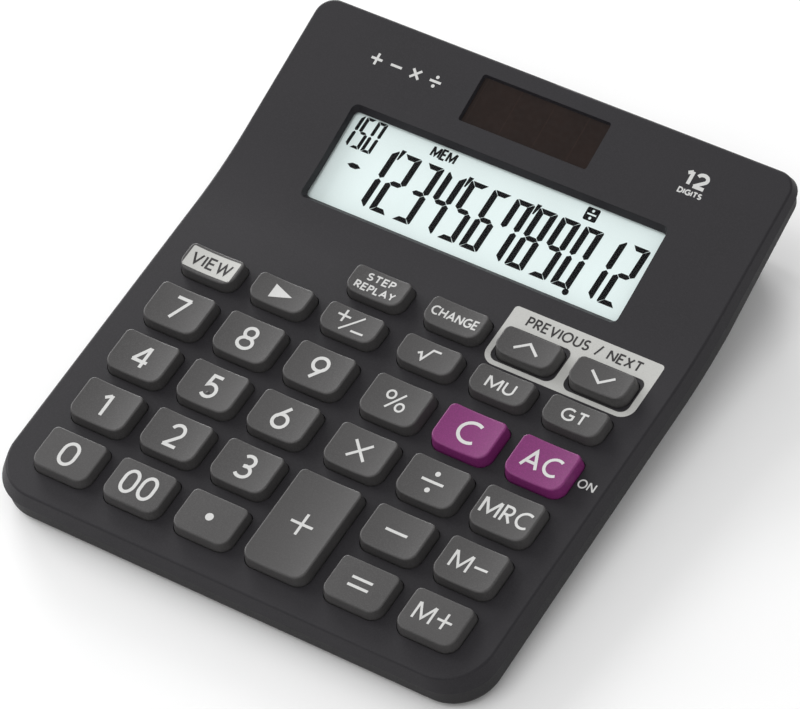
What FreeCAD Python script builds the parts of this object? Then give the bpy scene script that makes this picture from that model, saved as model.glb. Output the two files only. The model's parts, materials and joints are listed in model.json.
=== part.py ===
import FreeCAD, Part
import math
import os

# Mini desktop calculator with a flat keyboard, a steeper display panel behind it,
# press keys that slide in the top case, and the parts it holds inside.
# Millimetres. Origin on the desk under the middle of the case: +X right, +Y rear, +Z up.
#
# Two slanted frames carry nearly everything. Each has x to the right, v up the slope
# and h out of the face. The keyboard frame starts at the front top edge, and the
# display frame starts at the bend line. Depths are counted down from the face.

# --- case faces -----------------------------------------------------------------
FACE_HALF = 61.7            # half the width of the top face
KEYBOARD_LENGTH = 92.9      # front top edge to the bend line
DISPLAY_LENGTH = 46.6       # bend line to the rear top edge
KEYBOARD_TILT = 3.7         # degrees to the desk
DISPLAY_TILT = 15.6         # degrees to the desk
FRONT_EDGE_HEIGHT = 10.0    # front top edge above the desk
BEND_RADIUS = 100.0
FRONT_CORNER = 11.0
REAR_CORNER = 4.5
TOP_EDGE_ROUND = 0.6
KNEE_ROUND = 1.6
BASE_ROUND = 0.6

# --- case walls: each triple is at the front, at the bend and at the rear --------
SKIRT_DROP = (3.6, 2.9, 2.2)      # top edge down to the parting line
KNEE_DROP = (8.1, 7.0, 5.5)       # top edge down to where the rear cover turns in
DEEP_DROP = (20.0, 20.0, 32.0)    # a depth past the base at every place
SIDE_FLARE = 0.37                 # sideways per millimetre of skirt
FRONT_FLARE = 0.30
REAR_FLARE = 0.10
PARTING_SETBACK = 0.5
PARTING_GAP = 0.04
SIDE_SLOPE = math.tan(math.radians(33.0))
FRONT_SLOPE = math.tan(math.radians(32.0))
REAR_SLOPE = math.tan(math.radians(24.0))
PLATE = 1.8                 # top face thickness
WALL = 1.8
BASE_HEIGHT = 1.0           # underside of the rear cover above the desk
BASE_THICKNESS = 1.8

# --- keys -----------------------------------------------------------------------
COLUMNS = (-47.0, -28.5, -10.0, 10.0, 28.5, 47.0)
ROW_PITCH = 14.2
FIRST_ROW = 11.8            # first row centre behind the front top edge
ROWS = (FIRST_ROW, FIRST_ROW + ROW_PITCH, FIRST_ROW + 2 * ROW_PITCH, FIRST_ROW + 3 * ROW_PITCH,
        FIRST_ROW + 3 * ROW_PITCH + 13.2, FIRST_ROW + 3 * ROW_PITCH + 24.1)
KEY_WIDTH = 14.1
KEY_LENGTH = 10.3
SMALL_KEY_LENGTH = 6.9
PLUS_WIDTH = 15.5           # the plus key is wider, towards the digits
PLUS_X = 9.1
KEY_RISE = 3.0              # side edges of a key top above the face
KEY_DISH = 0.5              # the top is hollowed this deep between its sides
FLAT_ROW = 0                # the front row has flat tops at the depth of the hollow
KEY_FLARE = 0.45            # base wider than the top, each side
KEY_STEP = 0.3              # straight part of the key above the face
KEY_FRONT_CORNER = 2.6
KEY_REAR_CORNER = 1.3
KEY_EDGE_ROUND = 0.4
KEY_CLEARANCE = 0.2
KEY_FLANGE = 0.6
FLANGE_TOP = PLATE + 0.02
FLANGE_THICKNESS = 0.7
KEY_SHELL = 1.1             # side wall of the hollow cap
KEY_ROOF = 1.8              # thickness over the hollow
PLUNGER_RADIUS = 1.6
PLUNGER_DEPTH = 2.7
KEY_TRAVEL = 1.3

# --- rubber sheet and board ------------------------------------------------------
SHEET_TOP = 4.3
SHEET_THICKNESS = 0.5
BOARD_TOP = SHEET_TOP + SHEET_THICKNESS
BOARD_THICKNESS = 1.2
BOARD_BOTTOM = BOARD_TOP + BOARD_THICKNESS
BOARD_HALF = 58.4
BOARD_FRONT = 4.4
BOARD_REAR = 83.8
BOARD_POSTS = ((-57.2, 26.0), (57.2, 26.0), (-57.2, 70.0), (57.2, 70.0), (0.0, 33.1), (0.0, 61.0))
POST_RADIUS = 1.7
POST_BORE = 0.8

# --- display and solar cell -------------------------------------------------------
LCD_HALF = 40.6             # seen half width
LCD_START = 1.7             # seen area behind the bend line
LCD_END = 24.2
LCD_LIP = 1.8               # depth of the recess to the window
LCD_SIDE_BEVEL = 0.45
LCD_END_BEVEL = 1.1
WINDOW_MARGIN = 1.4
WINDOW_THICKNESS = 0.8
PANEL_MARGIN = 2.4
PANEL_THICKNESS = 2.0
FRAME_MARGIN = 4.4
FRAME_THICKNESS = 1.2
SOLAR_HALF = 16.3
SOLAR_START = 30.8
SOLAR_END = 42.3
SOLAR_LIP = 0.9
SOLAR_BEVEL = 0.35
SOLAR_MARGIN = 1.2
SOLAR_THICKNESS = 1.1

# --- fasteners, feet and power ----------------------------------------------------
BEND_SCREW_X = 50.0
BEND_SCREW_V = 88.0         # in the keyboard frame
BEND_SCREW_JOINT = 8.0      # height where the two posts of a screw meet
REAR_SCREW_X = 28.0
REAR_SCREW_V = 36.0         # in the display frame
REAR_SCREW_JOINT = 15.0
CASE_POST_RADIUS = 3.0
SCREW_SEAT = 2.5            # plastic under the screw head
SCREW_HEAD_RADIUS = 2.2
SCREW_HEAD_HEIGHT = 1.5
SCREW_RADIUS = 1.1
SCREW_REACH = 4.5           # screw length above the joint
FOOT_RADIUS = 4.5
FOOT_RECESS = 0.6
FEET = ((-50.0, -57.0), (50.0, -57.0), (-38.0, 55.0), (38.0, 55.0))
LABEL_HALF = 30.0
LABEL_FRONT = -22.0
LABEL_REAR = 8.0
LABEL_RECESS = 0.3
LABEL_THICKNESS = 0.15
CELL_RADIUS = 5.8
CELL_HEIGHT = 5.4
CELL_PLACE = (-24.0, 36.0)
STRIP = 0.3                 # contact strip thickness
LEAD_RADIUS = 0.45
BIG = 400.0

V = FreeCAD.Vector
X_AXIS = V(1, 0, 0)
Z_AXIS = V(0, 0, 1)
TURN = math.radians(DISPLAY_TILT - KEYBOARD_TILT)
TANGENT = BEND_RADIUS * math.tan(TURN / 2)
BEND_START = KEYBOARD_LENGTH - TANGENT
REAR_UPRIGHT = math.tan(math.radians(DISPLAY_TILT))


def slanted(origin, tilt):
    """The frame that starts at origin and climbs to the rear by tilt degrees."""
    return FreeCAD.Placement(origin, FreeCAD.Rotation(X_AXIS, tilt))


def keyboard_origin():
    """Front top edge, placed so that the whole case is centred on the origin in y."""
    at_zero = slanted(V(0, 0, 0), KEYBOARD_TILT)
    front = at_zero.multVec(V(0, -FRONT_FLARE * SKIRT_DROP[0], -SKIRT_DROP[0])).y
    bend = at_zero.multVec(V(0, KEYBOARD_LENGTH, 0))
    rear_point = V(0, DISPLAY_LENGTH + REAR_FLARE * SKIRT_DROP[2], -SKIRT_DROP[2])
    rear = slanted(bend, DISPLAY_TILT).multVec(rear_point).y
    return V(0, -(front + rear) / 2, FRONT_EDGE_HEIGHT)


KEYBOARD = slanted(keyboard_origin(), KEYBOARD_TILT)
DISPLAY = slanted(KEYBOARD.multVec(V(0, KEYBOARD_LENGTH, 0)), DISPLAY_TILT)


def placed(shape, frame):
    """A copy of a shape that was drawn in a slanted frame, put in the model's frame."""
    moved = shape.copy()
    moved.Placement = frame.multiply(moved.Placement)
    return moved


# --- outlines ----------------------------------------------------------------------
def rounded_wire(corners):
    """Closed wire round the corners (point, radius); a radius of 0 leaves a sharp one."""
    count = len(corners)
    edges = []
    ends = []
    for i, (point, radius) in enumerate(corners):
        back = (corners[i - 1][0] - point).normalize()
        ahead = (corners[(i + 1) % count][0] - point).normalize()
        if radius == 0:
            ends.append((point, point))
            continue
        half = back.getAngle(ahead) / 2
        reach = radius / math.tan(half)
        inward = (back + ahead).normalize()
        middle = point + inward * (radius / math.sin(half) - radius)
        ends.append((point + back * reach, point + ahead * reach))
        edges.append(Part.Arc(ends[i][0], middle, ends[i][1]).toShape())
    for i in range(count):
        start = ends[i][1]
        end = ends[(i + 1) % count][0]
        edges.append(Part.LineSegment(start, end).toShape())
    return Part.Wire(Part.__sortEdges__(edges))


def box_wire(half, front, rear, front_radius, rear_radius, h):
    """Rounded rectangle at height h in a slanted frame."""
    return rounded_wire([(V(-half, rear, h), rear_radius), (V(-half, front, h), front_radius),
                         (V(half, front, h), front_radius), (V(half, rear, h), rear_radius)])


def prism(wire, height):
    return Part.Face(wire).extrude(V(0, 0, height))


def slab(half, front, rear, top, bottom, radius=0.0):
    """Flat block between two depths under a face."""
    return prism(box_wire(half, front, rear, radius, radius, -bottom), bottom - top)


def ruled(lower, upper):
    return Part.makeLoft([lower, upper], True, True)


def fused(shapes):
    return shapes[0].multiFuse(shapes[1:]).removeSplitter() if len(shapes) > 1 else shapes[0]


# --- solids that follow the bent face ----------------------------------------------
class Level:
    """One outline round the case at a depth below the face, with its offset outwards."""

    def __init__(self, drops, side, front, rear, radii):
        self.drops = drops          # depth at the front, the bend and the rear
        self.side = side            # outward offset of the sides at the same three places
        self.front = front          # outward offset of the front and of the rear end
        self.rear = rear
        self.radii = radii          # front corners and rear corners

    def keyboard_wire(self):
        front_half = FACE_HALF + self.side[0]
        bend_half = FACE_HALF + self.side[1]
        front = V(0, -self.front, -self.drops[0])
        rear = V(0, BEND_START, -self.drops[1])
        return rounded_wire([(rear - X_AXIS * bend_half, 0), (front - X_AXIS * front_half, self.radii[0]),
                             (front + X_AXIS * front_half, self.radii[0]), (rear + X_AXIS * bend_half, 0)])

    def display_wire(self):
        bend_half = FACE_HALF + self.side[1]
        rear_half = FACE_HALF + self.side[2]
        front = V(0, TANGENT, -self.drops[1])
        rear = V(0, DISPLAY_LENGTH + self.rear, -self.drops[2])
        return rounded_wire([(rear - X_AXIS * rear_half, self.radii[1]), (front - X_AXIS * bend_half, 0),
                             (front + X_AXIS * bend_half, 0), (rear + X_AXIS * rear_half, self.radii[1])])


def bent_solid(levels):
    """Solid between outlines that follow the face: keyboard part, bend and display part."""
    pieces = []
    for upper, lower in zip(levels, levels[1:]):
        pieces.append(placed(ruled(lower.keyboard_wire(), upper.keyboard_wire()), KEYBOARD))
        pieces.append(placed(ruled(lower.display_wire(), upper.display_wire()), DISPLAY))
        top_half = FACE_HALF + upper.side[1]
        low_half = FACE_HALF + lower.side[1]
        section = Part.makePolygon([V(-top_half, BEND_START, -upper.drops[1]),
                                    V(top_half, BEND_START, -upper.drops[1]),
                                    V(low_half, BEND_START, -lower.drops[1]),
                                    V(-low_half, BEND_START, -lower.drops[1]),
                                    V(-top_half, BEND_START, -upper.drops[1])])
        turned = Part.Face(section).revolve(V(0, BEND_START, BEND_RADIUS), X_AXIS, math.degrees(TURN))
        pieces.append(placed(turned, KEYBOARD))
    return fused(pieces)


def skirt_level(drops, inset):
    """Outline on the flared skirt of the top case, moved inwards by inset."""
    side = tuple(SIDE_FLARE * drop - inset for drop in drops)
    corners = (max(FRONT_CORNER - inset, 1.0), max(REAR_CORNER - inset, 1.0))
    return Level(drops, side, FRONT_FLARE * drops[0] - inset, REAR_FLARE * drops[2] - inset, corners)


def cover_levels(inset, lift):
    """Outlines of the rear cover from lift above the parting line down, moved inwards by inset."""
    back = PARTING_SETBACK + inset
    side = tuple(SIDE_FLARE * drop - back for drop in SKIRT_DROP)
    front = FRONT_FLARE * SKIRT_DROP[0] - back
    rear = REAR_FLARE * SKIRT_DROP[2] - back
    knee_rear = rear - (KNEE_DROP[2] - SKIRT_DROP[2]) * REAR_UPRIGHT
    corners = (FRONT_CORNER - back, max(REAR_CORNER - back, 1.0))
    fall = tuple(deep - knee for deep, knee in zip(DEEP_DROP, KNEE_DROP))
    deep_side = tuple(s - f * SIDE_SLOPE for s, f in zip(side, fall))
    deep_corners = (max(corners[0] - fall[0] * FRONT_SLOPE, 1.0), 1.0)
    rim = tuple(drop - lift for drop in SKIRT_DROP)
    return [Level(rim, side, front, rear, corners),
            Level(KNEE_DROP, side, front, knee_rear, corners),
            Level(DEEP_DROP, deep_side, front - fall[0] * FRONT_SLOPE, knee_rear - fall[2] * REAR_SLOPE,
                  deep_corners)]


def above(height):
    """Everything above a height over the desk."""
    return Part.makeBox(BIG, BIG, BIG, V(-BIG / 2, -BIG / 2, height))


def post(x, v, top, bottom, radius):
    """Upright cylinder in a slanted frame between two depths."""
    return Part.makeCylinder(radius, bottom - top, V(x, v, -bottom), Z_AXIS)


# --- keys ----------------------------------------------------------------------------
LARGE = KEY_LENGTH
SMALL = SMALL_KEY_LENGTH
# name, column, row, length of the top along v
KEYS = (
    ("key_0", 0, 0, LARGE), ("key_00", 1, 0, LARGE), ("key_point", 2, 0, LARGE),
    ("key_equals", 4, 0, LARGE), ("key_memory_plus", 5, 0, LARGE),
    ("key_1", 0, 1, LARGE), ("key_2", 1, 1, LARGE), ("key_3", 2, 1, LARGE),
    ("key_minus", 4, 1, LARGE), ("key_memory_minus", 5, 1, LARGE),
    ("key_4", 0, 2, LARGE), ("key_5", 1, 2, LARGE), ("key_6", 2, 2, LARGE),
    ("key_times", 3, 2, LARGE), ("key_divide", 4, 2, LARGE), ("key_memory_recall", 5, 2, LARGE),
    ("key_7", 0, 3, LARGE), ("key_8", 1, 3, LARGE), ("key_9", 2, 3, LARGE),
    ("key_percent", 3, 3, LARGE), ("key_clear", 4, 3, LARGE), ("key_all_clear", 5, 3, LARGE),
    ("key_view", 0, 4, SMALL), ("key_backspace", 1, 4, SMALL), ("key_sign", 2, 4, SMALL),
    ("key_root", 3, 4, SMALL), ("key_markup", 4, 4, SMALL), ("key_grand_total", 5, 4, SMALL),
    ("key_replay", 2, 5, SMALL), ("key_edit", 3, 5, SMALL),
    ("key_step_up", 4, 5, SMALL), ("key_step_down", 5, 5, SMALL),
)
PLUS_LENGTH = ROW_PITCH + KEY_LENGTH
PLUS_CENTRE = FIRST_ROW + ROW_PITCH / 2
DISH_FLOOR = KEY_RISE - KEY_DISH


class KeyPlace:
    """Where a key stands in the keyboard frame, and the size of its top."""

    def __init__(self, name, x, v, width, length, dished):
        self.name = name
        self.x = x
        self.v = v
        self.width = width
        self.length = length
        self.dished = dished

    def outline(self, grow, h):
        """Outline at height h, grown outwards from the top."""
        half = self.width / 2 + grow
        reach = self.length / 2 + grow
        wire = box_wire(half, -reach, reach, KEY_FRONT_CORNER + grow, KEY_REAR_CORNER + grow, h)
        wire.translate(V(self.x, self.v, 0))
        return wire

    def dish(self):
        """Long cylinder that hollows the top between its two side edges."""
        half = self.width / 2
        radius = (half * half + KEY_DISH * KEY_DISH) / (2 * KEY_DISH)
        reach = self.length / 2 + 2.0
        start = V(self.x, self.v - reach, DISH_FLOOR + radius)
        return Part.makeCylinder(radius, 2 * reach, start, V(0, 1, 0))

    def cap(self):
        """Sloping sides and a dished or flat top with a rounded rim."""
        top = KEY_RISE if self.dished else DISH_FLOOR
        block = ruled(self.outline(KEY_FLARE, KEY_STEP), self.outline(0.0, top))
        if self.dished:
            block = block.cut(self.dish())
        rim = [edge for edge in block.Edges if min(end.Z for end in edge.Vertexes) > DISH_FLOOR - 0.01]
        return block.makeFillet(KEY_EDGE_ROUND, rim)


def key_places():
    places = []
    for name, column, row, length in KEYS:
        places.append(KeyPlace(name, COLUMNS[column], ROWS[row], KEY_WIDTH, length, row != FLAT_ROW))
    places.append(KeyPlace("key_plus", PLUS_X, PLUS_CENTRE, PLUS_WIDTH, PLUS_LENGTH, True))
    return places


def key(place):
    """Hollow cap, a stop flange under the case and a plunger."""
    neck = prism(place.outline(KEY_FLARE, -FLANGE_TOP), FLANGE_TOP + KEY_STEP)
    flange_bottom = FLANGE_TOP + FLANGE_THICKNESS
    flange = prism(place.outline(KEY_FLARE + KEY_FLANGE, -flange_bottom), FLANGE_THICKNESS)
    pocket_height = flange_bottom + KEY_RISE - KEY_ROOF
    pocket = prism(place.outline(KEY_FLARE - KEY_SHELL, -flange_bottom), pocket_height)
    plunger = post(place.x, place.v, -(KEY_RISE - KEY_ROOF) - 0.5, PLUNGER_DEPTH, PLUNGER_RADIUS)
    return fused([fused([place.cap(), neck, flange]).cut(pocket), plunger])


def tactile_dot(place):
    """Small raised dot on the middle key, for finding it by touch."""
    return Part.makeSphere(0.5, V(place.x, place.v - 1.7, DISH_FLOOR - 0.2))


def key_nodes():
    nodes = {}
    for place in key_places():
        shape = key(place)
        if place.name == "key_5":
            shape = fused([shape, tactile_dot(place)])
        nodes[place.name] = placed(shape, KEYBOARD)
    return nodes


# --- rubber sheet, board and what is on it ---------------------------------------------
def board_outline(grow, h):
    return box_wire(BOARD_HALF + grow, BOARD_FRONT - grow, BOARD_REAR + grow, 6.0 + grow, 3.0 + grow, h)


def dome(place):
    """Outside and inside of the hollow rubber dome under one key."""
    x = place.x
    v = place.v
    foot = 3.2 if place.length > SMALL_KEY_LENGTH else 2.6
    crown = PLUNGER_RADIUS + 0.2
    rise = SHEET_TOP - PLUNGER_DEPTH
    skin = 0.45
    outside = Part.makeCone(foot, crown, rise, V(x, v, -SHEET_TOP), Z_AXIS)
    inside = Part.makeCone(foot - skin, crown - skin, rise - 0.6, V(x, v, -SHEET_TOP), Z_AXIS)
    under = post(x, v, SHEET_TOP, BOARD_TOP, foot - skin)
    return outside, fused([inside, under])


def keypad_sheet():
    sheet = prism(board_outline(-0.6, -BOARD_TOP), SHEET_THICKNESS)
    outsides = []
    insides = []
    for place in key_places():
        outside, inside = dome(place)
        outsides.append(outside)
        insides.append(inside)
    sheet = fused([sheet] + outsides)
    holes = [post(x, v, SHEET_TOP - 1, BOARD_TOP + 1, POST_RADIUS + 0.3) for x, v in BOARD_POSTS]
    return placed(sheet.cut(insides + holes), KEYBOARD)


def main_board():
    board = prism(board_outline(0.0, -BOARD_BOTTOM), BOARD_THICKNESS)
    holes = [post(x, v, BOARD_TOP - 1, BOARD_BOTTOM + 1, POST_BORE + 0.15) for x, v in BOARD_POSTS]
    return placed(board.cut(holes), KEYBOARD)


def controller():
    """Round blob of resin over the chip, under the board."""
    ball = Part.makeSphere(13.0, V(14.0, 50.0, -BOARD_BOTTOM + 11.5))
    below = slab(20.0, 30.0, 70.0, BOARD_BOTTOM, BOARD_BOTTOM + 5.0)
    below.translate(V(14.0, 0, 0))
    return placed(ball.common(below), KEYBOARD)


def capacitor():
    """Small radial capacitor lying on its side under the board, with a bevelled end."""
    can = Part.makeCylinder(2.0, 6.5, V(-22.0, 76.0, -BOARD_BOTTOM - 2.05), X_AXIS)
    ends = [edge for edge in can.Edges if isinstance(edge.Curve, Part.Circle)]
    return placed(can.makeFillet(0.4, ends), KEYBOARD)


def board_screws():
    """Six small pan-head screws that clamp the board and the rubber sheet."""
    screws = []
    for x, v in BOARD_POSTS:
        head = post(x, v, BOARD_BOTTOM, BOARD_BOTTOM + 1.0, 1.6)
        rim = [edge for edge in head.Edges if edge.BoundBox.ZMax < -BOARD_BOTTOM - 0.9]
        head = head.makeFillet(0.35, rim)
        shank = post(x, v, BOARD_TOP - 2.0, BOARD_BOTTOM, POST_BORE - 0.02)
        slot = Part.makeBox(2.0, 0.4, 0.5, V(x - 1.0, v - 0.2, -BOARD_BOTTOM - 1.0))
        screws.append(placed(fused([head, shank]).cut(slot), KEYBOARD))
    return Part.makeCompound(screws)


# --- display -----------------------------------------------------------------------------
LCD_MIDDLE = (LCD_START + LCD_END) / 2
LCD_REACH = (LCD_END - LCD_START) / 2
SOLAR_MIDDLE = (SOLAR_START + SOLAR_END) / 2
SOLAR_REACH = (SOLAR_END - SOLAR_START) / 2
LCD_SCREWS = ((-48.0, LCD_MIDDLE), (48.0, LCD_MIDDLE))
WINDOW_BOTTOM = LCD_LIP + WINDOW_THICKNESS
PANEL_BOTTOM = WINDOW_BOTTOM + PANEL_THICKNESS
FRAME_BOTTOM = PANEL_BOTTOM + FRAME_THICKNESS


def centred(half, middle, reach, top, bottom, radius):
    """Flat rounded block about (0, middle) in a slanted frame."""
    return slab(half, middle - reach, middle + reach, top, bottom, radius)


def display_window():
    pane = centred(LCD_HALF + WINDOW_MARGIN, LCD_MIDDLE, LCD_REACH + WINDOW_MARGIN,
                   LCD_LIP, WINDOW_BOTTOM, 1.0)
    return placed(pane, DISPLAY)


def lcd_panel():
    """Two glass plates, the lower one with a ledge along the front for the ribbon."""
    middle = PANEL_BOTTOM - PANEL_THICKNESS / 2
    front = LCD_START - PANEL_MARGIN
    upper = slab(LCD_HALF + PANEL_MARGIN, front + 1.6, LCD_END + PANEL_MARGIN, WINDOW_BOTTOM, middle)
    lower = slab(LCD_HALF + PANEL_MARGIN, front, LCD_END + PANEL_MARGIN, middle, PANEL_BOTTOM)
    return placed(fused([upper, lower]), DISPLAY)


def lcd_frame():
    """Tray that holds the panel against the window, with a screw ear on each side."""
    tray = centred(LCD_HALF + FRAME_MARGIN, LCD_MIDDLE, LCD_REACH + FRAME_MARGIN, PLATE, FRAME_BOTTOM, 1.5)
    seat = centred(LCD_HALF + PANEL_MARGIN + 0.2, LCD_MIDDLE, LCD_REACH + PANEL_MARGIN + 0.2,
                   PLATE - 1, PANEL_BOTTOM, 0.5)
    notch = slab(21.0, LCD_START - FRAME_MARGIN - 1, LCD_START + 1.5, PLATE - 1, FRAME_BOTTOM + 1)
    ears = [post(x, v, PANEL_BOTTOM, FRAME_BOTTOM, 2.8) for x, v in LCD_SCREWS]
    arms = []
    for x, v in LCD_SCREWS:
        side = math.copysign(1, x)
        arm = slab(2.2, v - 2.8, v + 2.8, PANEL_BOTTOM, FRAME_BOTTOM)
        arm.translate(V(x - side * 2.2, 0, 0))
        arms.append(arm)
    holes = [post(x, v, PLATE, FRAME_BOTTOM + 1, POST_BORE + 0.15) for x, v in LCD_SCREWS]
    return placed(fused([tray] + ears + arms).cut([seat, notch] + holes), DISPLAY)


def lcd_screws():
    screws = []
    for x, v in LCD_SCREWS:
        head = post(x, v, FRAME_BOTTOM, FRAME_BOTTOM + 1.0, 1.6)
        rim = [edge for edge in head.Edges if edge.BoundBox.ZMax < -FRAME_BOTTOM - 0.9]
        shank = post(x, v, PLATE + 1.0, FRAME_BOTTOM, POST_BORE - 0.02)
        screws.append(placed(fused([head.makeFillet(0.35, rim), shank]), DISPLAY))
    return Part.makeCompound(screws)


def lcd_ribbon():
    """Flat flexible connector from the ledge of the panel to the underside of the board."""
    skin = 0.15
    across = V(0, 0, skin)
    ledge = [DISPLAY.multVec(V(-20.0, v, -PANEL_BOTTOM)) for v in (1.2, LCD_START - PANEL_MARGIN)]
    pads = [KEYBOARD.multVec(V(-20.0, v, -BOARD_BOTTOM)) for v in (BOARD_REAR + 1.0, BOARD_REAR - 3.5)]
    line = ledge + pads
    section = Part.makePolygon(line + [point - across for point in reversed(line)] + [line[0]])
    return Part.Face(section).extrude(V(40.0, 0, 0))


def solar_cell():
    cell = centred(SOLAR_HALF + SOLAR_MARGIN, SOLAR_MIDDLE, SOLAR_REACH + SOLAR_MARGIN,
                   SOLAR_LIP, SOLAR_LIP + SOLAR_THICKNESS, 1.0)
    return placed(cell, DISPLAY)


# --- power ---------------------------------------------------------------------------------
BASE_INSIDE = BASE_HEIGHT + BASE_THICKNESS
CELL_BOTTOM = BASE_INSIDE + STRIP
CELL_TOP = CELL_BOTTOM + CELL_HEIGHT


def button_cell():
    """Coin-shaped cell with its smaller cap down and rounded can edges."""
    x, y = CELL_PLACE
    cap = Part.makeCylinder(CELL_RADIUS - 1.1, 0.8, V(x, y, CELL_BOTTOM), Z_AXIS)
    can = Part.makeCylinder(CELL_RADIUS, CELL_HEIGHT - 0.8, V(x, y, CELL_BOTTOM + 0.8), Z_AXIS)
    rims = [edge for edge in can.Edges if isinstance(edge.Curve, Part.Circle)]
    return fused([cap, can.makeFillet(0.4, rims)])


def cell_lower_contact():
    """Round spring plate under the cell with a solder tab."""
    x, y = CELL_PLACE
    plate = Part.makeCylinder(4.0, STRIP, V(x, y, BASE_INSIDE), Z_AXIS)
    tab = Part.makeBox(10.5, 3.0, STRIP, V(x, y - 1.5, BASE_INSIDE))
    return fused([plate, tab])


def cell_upper_contact():
    """Strip over the cell, bent down outside its well to a solder tab."""
    x, y = CELL_PLACE
    width = 4.0
    low = V(x - width / 2, y - 11.5, BASE_INSIDE)
    tab = Part.makeBox(width, 3.0, STRIP, low)
    leg = Part.makeBox(width, STRIP, CELL_TOP + STRIP - BASE_INSIDE, low + V(0, 3.0 - STRIP, 0))
    arm = Part.makeBox(width, 12.0, STRIP, V(low.x, low.y + 3.0 - STRIP, CELL_TOP))
    return fused([tab, leg, arm])


def lead(points):
    """Round insulated wire: straight runs joined by tangent arcs."""
    edges = []
    start = points[0]
    for before, corner, after in zip(points, points[1:], points[2:]):
        back = (before - corner).normalize()
        ahead = (after - corner).normalize()
        half = back.getAngle(ahead) / 2
        reach = 0.45 * min((before - corner).Length, (after - corner).Length)
        radius = reach * math.tan(half)
        inward = (back + ahead).normalize()
        middle = corner + inward * (radius / math.sin(half) - radius)
        edges.append(Part.LineSegment(start, corner + back * reach).toShape())
        edges.append(Part.Arc(corner + back * reach, middle, corner + ahead * reach).toShape())
        start = corner + ahead * reach
    edges.append(Part.LineSegment(start, points[-1]).toShape())
    path = Part.Wire(edges)
    ring = Part.Wire(Part.makeCircle(LEAD_RADIUS, points[0], points[1] - points[0]))
    return path.makePipeShell([ring], True, False)


def board_joint(x, v):
    """Centre of a lead that lies against the underside of the board."""
    return KEYBOARD.multVec(V(x, v, -BOARD_BOTTOM - LEAD_RADIUS))


def battery_leads():
    x, y = CELL_PLACE
    lift = BASE_INSIDE + STRIP + LEAD_RADIUS
    lower = [V(x + 9.5, y, lift), V(x + 9.0, y - 8, lift),
             board_joint(-22.5, 84.0), board_joint(-23.0, 79.0)]
    upper = [V(x, y - 10.5, lift), V(x - 1.0, y - 15, lift),
             board_joint(-27.5, 84.0), board_joint(-28.0, 80.0)]
    return Part.makeCompound([lead(lower), lead(upper)])


def solar_leads():
    leads = []
    for x, end in ((12.5, 26.0), (15.0, 29.0)):
        start = DISPLAY.multVec(V(x, SOLAR_MIDDLE, -SOLAR_LIP - SOLAR_THICKNESS - LEAD_RADIUS))
        over = DISPLAY.multVec(V(x + 1.0, LCD_END + 6.4, -FRAME_BOTTOM - 1.9))
        under = DISPLAY.multVec(V(end, 1.5, -FRAME_BOTTOM - 2.6))
        leads.append(lead([start, over, under, board_joint(end, BOARD_REAR + 1.5), board_joint(end, 79.5)]))
    return Part.makeCompound(leads)


# --- case ------------------------------------------------------------------------------------
def case_screw_places():
    """Each case screw as x, y and the height where its two posts meet."""
    bend = KEYBOARD.multVec(V(0, BEND_SCREW_V, 0)).y
    rear = DISPLAY.multVec(V(0, REAR_SCREW_V, 0)).y
    right = ((BEND_SCREW_X, bend, BEND_SCREW_JOINT), (REAR_SCREW_X, rear, REAR_SCREW_JOINT))
    return [(side * x, y, joint) for side in (-1, 1) for x, y, joint in right]


def upright(x, y, low, high, radius):
    return Part.makeCylinder(radius, high - low, V(x, y, low), Z_AXIS)


def edges_at(shell, level):
    """Edges of a case solid that run round it along one of its outlines."""
    wires = [placed(level.keyboard_wire(), KEYBOARD), placed(level.display_wire(), DISPLAY)]
    guide = Part.makeCompound(wires)
    found = []
    for edge in shell.Edges:
        on_guide = all(guide.distToShape(vertex)[0] < 0.01 for vertex in edge.Vertexes)
        ends = [vertex.Point.y for vertex in edge.Vertexes]
        crosses_case = max(ends) - min(ends) < 0.001 and abs(ends[0]) < 60
        if on_guide and not crosses_case:
            found.append(edge)
    return found


def key_openings():
    cuts = []
    for place in key_places():
        wire = place.outline(KEY_FLARE + KEY_CLEARANCE, -PLATE - 0.5)
        cuts.append(placed(prism(wire, PLATE + 2.5), KEYBOARD))
    return cuts


def recess(half, middle, reach, lip, side_bevel, end_bevel, margin, radius):
    """Bevelled opening in the display face and the seat behind it."""
    over = 1.0 + 1.0 / lip
    bottom = box_wire(half, middle - reach, middle + reach, radius, radius, -lip)
    wide = half + side_bevel * over
    long = reach + end_bevel * over
    top = box_wire(wide, middle - long, middle + long, radius + side_bevel, radius + side_bevel, 1.0)
    seat = centred(half + margin, middle, reach + margin, lip, PLATE + 1.0, 1.0)
    return placed(fused([ruled(bottom, top), seat]), DISPLAY)


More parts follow.
